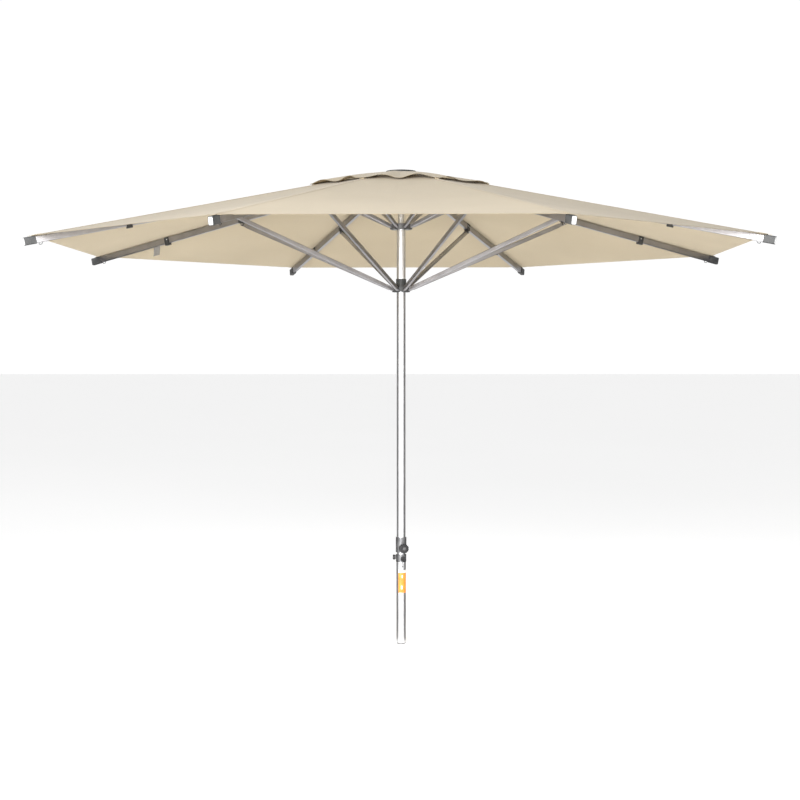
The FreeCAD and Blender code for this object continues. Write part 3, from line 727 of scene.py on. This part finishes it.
def painted_slit_shadow():
    """A dark strip in the clamp slit of the lower tube, with a round foot in the keyhole: painted shadow, standing for
    the shade in the bore behind the slit.
    """
    azimuth = math.atan2(*reversed(JOINTS["clamp_screw_front_turn"]["axis"][:2]))
    outline = [(-0.0013, 0.4415), (0.0013, 0.4415), (0.0013, 0.4190)]
    for step in range(13):
        a = math.radians(70 - step * 320 / 12)
        outline.append((0.0036 * math.cos(a), 0.4160 + 0.0036 * math.sin(a)))
    outline.append((-0.0013, 0.4190))
    points = [turned((radius, y, z), azimuth) for radius in (0.0226, 0.0254) for y, z in outline]
    count = len(outline)
    faces = [(k, (k + 1) % count, count + (k + 1) % count, count + k) for k in range(count)]
    faces += [tuple(reversed(range(count))), tuple(range(count, 2 * count))]
    # The black strip and foot are painted shadow in the slit and keyhole.
    shadow_strip = piece("painted_slit_shadow", points, faces, BLACK, smooth=False)
    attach(shadow_strip, POLE_BODY)


def cap_rim():
    """The dark bead round the edge of the top cap."""
    low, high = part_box("top_cap")
    radius = (high[0] - low[0]) / 2
    profile = [(-0.0005, radius - 0.004), (-0.001, radius - 0.0005), (0.001, radius + 0.0012),
               (0.004, radius + 0.0012), (0.0062, radius - 0.001), (0.0066, radius - 0.005)]
    rim = lathe("cap_rim", profile, (0, 0, low[2]), (0, 0, 1), GREY, 96)
    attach(rim, "crown")


# ---------------------------------------------------------------- finishes on the CAD pieces
FINISH = {
    "satin_aluminium": ALUMINIUM, "cast_grey": CAST, "steel": STEEL, "black_plastic": BLACK,
    "grey_plastic": GREY, "label": LABEL, "canopy_cloth": CLOTH_MAIN,
}


NODE_FINISH = {"runner_neck": GREY, "runner_hub": GREY}
# Ribs, struts and stays take the darker aluminium copy, which is painted shade under the canopy.
for rib_number in range(1, RIBS + 1):
    for kind in ("rib", "strut", "stay"):
        NODE_FINISH[f"{kind}_{rib_number}"] = SHADED_RIB_ALUMINIUM


def finish_nodes():
    slots = {part["node"]: part["material_slot"] for part in frame["record"]["subparts"]}
    for name, obj in frame["nodes"].items():
        obj.data.materials.clear()
        obj.data.materials.append(NODE_FINISH.get(name, FINISH[slots[name]]))
        if slots[name] in ("cast_grey", "black_plastic", "grey_plastic"):
            soften(obj, 0.0008)


# ---------------------------------------------------------------- studio
def card(name, rows):
    """A dark card that only metal reflects: the camera doesn't see it, and it shades nothing."""
    obj = grid(name, rows, DARK_CARD)
    obj.visible_camera = False
    obj.visible_shadow = False
    obj.visible_diffuse = False


def studio():
    """A white surround that darkens overhead, soft lamps, and dark cards that the tubes' edges reflect."""
    bpy.context.scene.view_settings.view_transform = "Standard"
    floor = grid(
        "studio_floor", [[(x, y, -0.001) for y in (-200, 200)] for x in (-200, 200)],
        studio_white(),
    )
    for side, name in ((-1, "left"), (1, "right")):
        arc = [math.radians(90 - side * (32 + 8 * k)) for k in range(11)]
        upright = [[(3.0 * math.cos(a), 3.0 * math.sin(a), z) for a in arc] for z in (0.0, 6.0)]
        level = [[(r * math.cos(a), r * math.sin(a), 0.001) for a in arc] for r in (0.12, 3.0)]
        card(f"upright_card_{name}", upright)
        card(f"floor_card_{name}", level)
    world = bpy.data.worlds.new("studio")
    world.use_nodes = True
    tree = world.node_tree
    direction = tree.nodes.new("ShaderNodeTexCoord")
    split = tree.nodes.new("ShaderNodeSeparateXYZ")
    fall = tree.nodes.new("ShaderNodeMapRange")
    fall.inputs["From Min"].default_value = 0.35
    fall.inputs["From Max"].default_value = 0.80
    fall.inputs["To Min"].default_value = 1.02
    fall.inputs["To Max"].default_value = 0.18
    tree.links.new(direction.outputs["Generated"], split.inputs["Vector"])
    tree.links.new(split.outputs["Z"], fall.inputs["Value"])
    tree.links.new(fall.outputs["Result"], tree.nodes["Background"].inputs["Strength"])
    tree.nodes["Background"].inputs["Color"].default_value = (1, 1, 1, 1)
    bpy.context.scene.world = world
    for name, place, power, size in (
        ("key", (-1.5, -8.5, 2.9), 1350, 3.0), ("fill", (5.5, -5.0, 3.0), 60, 4.0),
    ):
        light = bpy.data.lights.new(name, "AREA")
        light.energy = power
        light.size = size
        lamp = bpy.data.objects.new(name, light)
        lamp.location = place
        lamp.rotation_mode = "QUATERNION"
        lamp.rotation_quaternion = (Vector(place) - Vector((0, 0, 1.8))).to_track_quat("Z", "Y")
        bpy.context.collection.objects.link(lamp)


def studio_white():
    n = Nodes("studio_white")
    tone = n.noise(0.3, 2.0)
    n.join(n.ramp(tone, (0.94, 0.94, 0.94), (0.96, 0.96, 0.96)), n.shader.inputs["Base Color"])
    n.shader.inputs["Roughness"].default_value = 0.9
    n.shader.inputs["Emission Color"].default_value = (1, 1, 1, 1)
    n.shader.inputs["Emission Strength"].default_value = 0.42
    return n.material


def camera():
    turn = 0.0208
    data = bpy.data.cameras.new("camera")
    data.lens = 68.73
    data.shift_x = -0.0014
    data.shift_y = -0.0469
    data.clip_end = 200
    obj = bpy.data.objects.new("camera", data)
    obj.location = (8.275 * math.sin(turn), -8.275 * math.cos(turn), 1.520)
    obj.rotation_euler = (math.pi / 2, 0, turn)
    bpy.context.collection.objects.link(obj)
    bpy.context.scene.camera = obj


camera()
studio()
finish_nodes()
for rib_number in range(1, RIBS + 1):
    canopy(rib_number)
    fittings(rib_number)
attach(care_tag(), "rib_4")
knob_trim()
painted_slit_shadow()
cap_rim()

bpy.context.view_layer.update()
